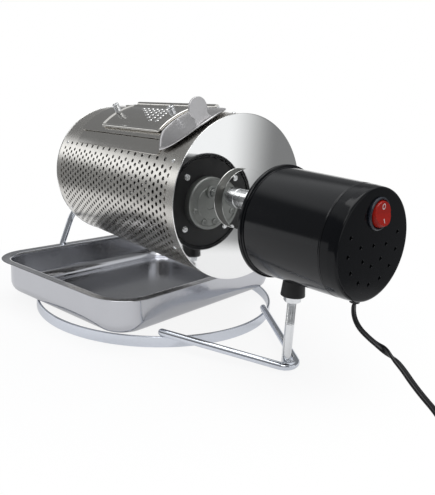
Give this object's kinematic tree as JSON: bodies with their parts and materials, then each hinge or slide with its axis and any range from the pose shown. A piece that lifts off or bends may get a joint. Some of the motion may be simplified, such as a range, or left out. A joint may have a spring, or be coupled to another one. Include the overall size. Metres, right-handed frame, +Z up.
{
  "type": "countertop drum coffee bean roaster",
  "caption": "Countertop coffee bean roaster: a perforated steel drum with a hinged lid, turned by a gearmotor over a catch tray on a ring stand.",
  "frame": {"origin": "centre of the base ring, on the surface that the stand rests on", "axes": "+X along the drum's axis towards the motor, +Z up; the finger tab and the front of the lid face -Y"},
  "size_m": [0.5685, 0.2958, 0.2239],
  "materials": {
    "perforated_steel": "satin polished perforated stainless sheet",
    "mirror_steel": "mirror polished stainless",
    "lid_steel": "brushed stainless sheet",
    "vane_steel": "plain stainless sheet",
    "wire_zinc": "bright plated steel wire and band",
    "bolt_steel": "zinc plated fastener",
    "tray_steel": "pressed stainless tray",
    "black_shell": "gloss black moulded shell",
    "black_plastic": "satin black moulding",
    "rocker_red": "gloss red rocker",
    "brass_insert": "turned brass",
    "gearbox_grey": "zinc die cast gearbox",
    "motor_metal": "drawn motor can",
    "cord_black": "flat twin flexible cord",
    "contact_metal": "nickel plated contact"
  },
  "bodies": {
    "stand": {"base_ring": "wire_zinc", "outrigger_rod": "wire_zinc", "axle_support_rod": "wire_zinc", "motor_post": "bolt_steel", "post_lock_nut": "bolt_steel", "post_boss": "black_plastic", "boss_insert": "brass_insert", "motor_housing": "black_shell", "housing_front_plate": "black_plastic", "front_plate_screws": "bolt_steel", "gearbox": "gearbox_grey", "motor_can": "motor_metal", "housing_rear_cap": "black_shell", "switch_bezel": "black_plastic", "switch_body": "black_plastic", "terminal_block": "black_plastic", "cord_gland": "black_plastic", "cord_run": "cord_black", "cord_hank": "cord_black", "cord_tie": "black_plastic", "cord_tail": "cord_black", "plug_strain_relief": "black_plastic", "plug_body": "black_plastic", "plug_blades": "contact_metal"},
    "drum": {"drum_shell": "perforated_steel", "motor_side_end_plate": "mirror_steel", "far_end_plate": "mirror_steel", "motor_side_rivets": "bolt_steel", "far_side_rivets": "bolt_steel", "hub_dish": "mirror_steel", "drive_socket": "bolt_steel", "socket_set_screw": "bolt_steel", "output_shaft": "bolt_steel", "far_axle": "bolt_steel", "axle_nut": "bolt_steel", "axle_collar": "bolt_steel", "stir_vane_a": "vane_steel", "stir_vane_b": "vane_steel", "stir_vane_c": "vane_steel", "lid_frame": "lid_steel", "hinge_drum_leaf": "lid_steel", "hinge_pin": "bolt_steel"},
    "lid": {"lid_panel": "lid_steel", "lid_cover": "lid_steel", "pull_plate": "lid_steel", "cover_screws": "bolt_steel", "cover_springs": "bolt_steel", "hinge_lid_leaf": "lid_steel"},
    "rocker": {"rocker_button": "rocker_red"},
    "tray_pan": {"tray": "tray_steel"}
  },
  "joints": [
    {"name": "drum_spin", "type": "hinge", "parent": "stand", "child": "drum", "pos_m": [0, 0, 0.1382], "axis": [1, 0, 0], "continuous": true},
    {"name": "lid_hinge", "type": "hinge", "parent": "drum", "child": "lid", "pos_m": [0, 0.00555, 0.21761], "axis": [-1, 0, 0], "range_deg": [0, 201.5]},
    {"name": "switch_rock", "type": "hinge", "parent": "stand", "child": "rocker", "pos_m": [0.2766, 0, 0.15], "axis": [0, 1, 0], "range_deg": [0, 20]},
    {"name": "tray_slide", "type": "slide", "parent": "stand", "child": "tray_pan", "axis": [0.2079, -0.9781, 0], "range_m": [0, 0.12]}
  ]
}
